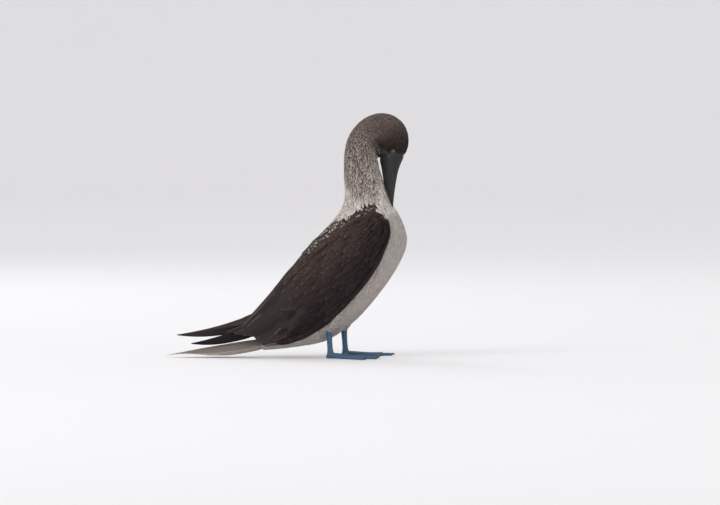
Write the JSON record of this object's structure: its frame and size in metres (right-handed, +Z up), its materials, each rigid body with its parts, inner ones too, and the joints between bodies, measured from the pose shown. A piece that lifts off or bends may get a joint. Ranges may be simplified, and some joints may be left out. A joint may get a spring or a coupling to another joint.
{
  "type": "blue-footed booby",
  "caption": "Standing blue-footed booby, neck arched and bill tucked down along the neck, with folded wings, streaked head, pointed tail and webbed blue feet.",
  "frame": {"origin": "on the floor under the middle of the bird's length and width", "axes": "+X the way the bird faces, +Y its left side, +Z up"},
  "size_m": [0.4294, 0.1802, 0.4275],
  "materials": {
    "white_feathers": "matt white plumage",
    "streaked_feathers": "matt brown plumage with pale streaks",
    "wing_feathers": "dark brown plumage, slight sheen",
    "flight_feathers": "black-brown flight feathers, slight sheen",
    "tail_feathers": "pale beige and brown tail feathers",
    "bill": "satin dark slate horn",
    "blue_skin": "scaly blue skin, slight sheen",
    "claw": "dark satin horn",
    "eye": "wet gloss, pale yellow iris"
  },
  "bodies": {
    "root": {"trunk": "white_feathers", "neck": "streaked_feathers", "head": "streaked_feathers", "bill_upper": "bill", "bill_lower": "bill", "tail": "tail_feathers", "eye_left": "eye", "wing_left": "wing_feathers", "primaries_left": "flight_feathers", "thigh_left": "white_feathers", "tarsus_left": "blue_skin", "foot_left": "blue_skin", "claw_left_hind": "claw", "claw_left_inner": "claw", "claw_left_middle": "claw", "claw_left_outer": "claw", "eye_right": "eye", "wing_right": "wing_feathers", "primaries_right": "flight_feathers", "thigh_right": "white_feathers", "tarsus_right": "blue_skin", "foot_right": "blue_skin", "claw_right_hind": "claw", "claw_right_inner": "claw", "claw_right_middle": "claw", "claw_right_outer": "claw"}
  },
  "joints": []
}
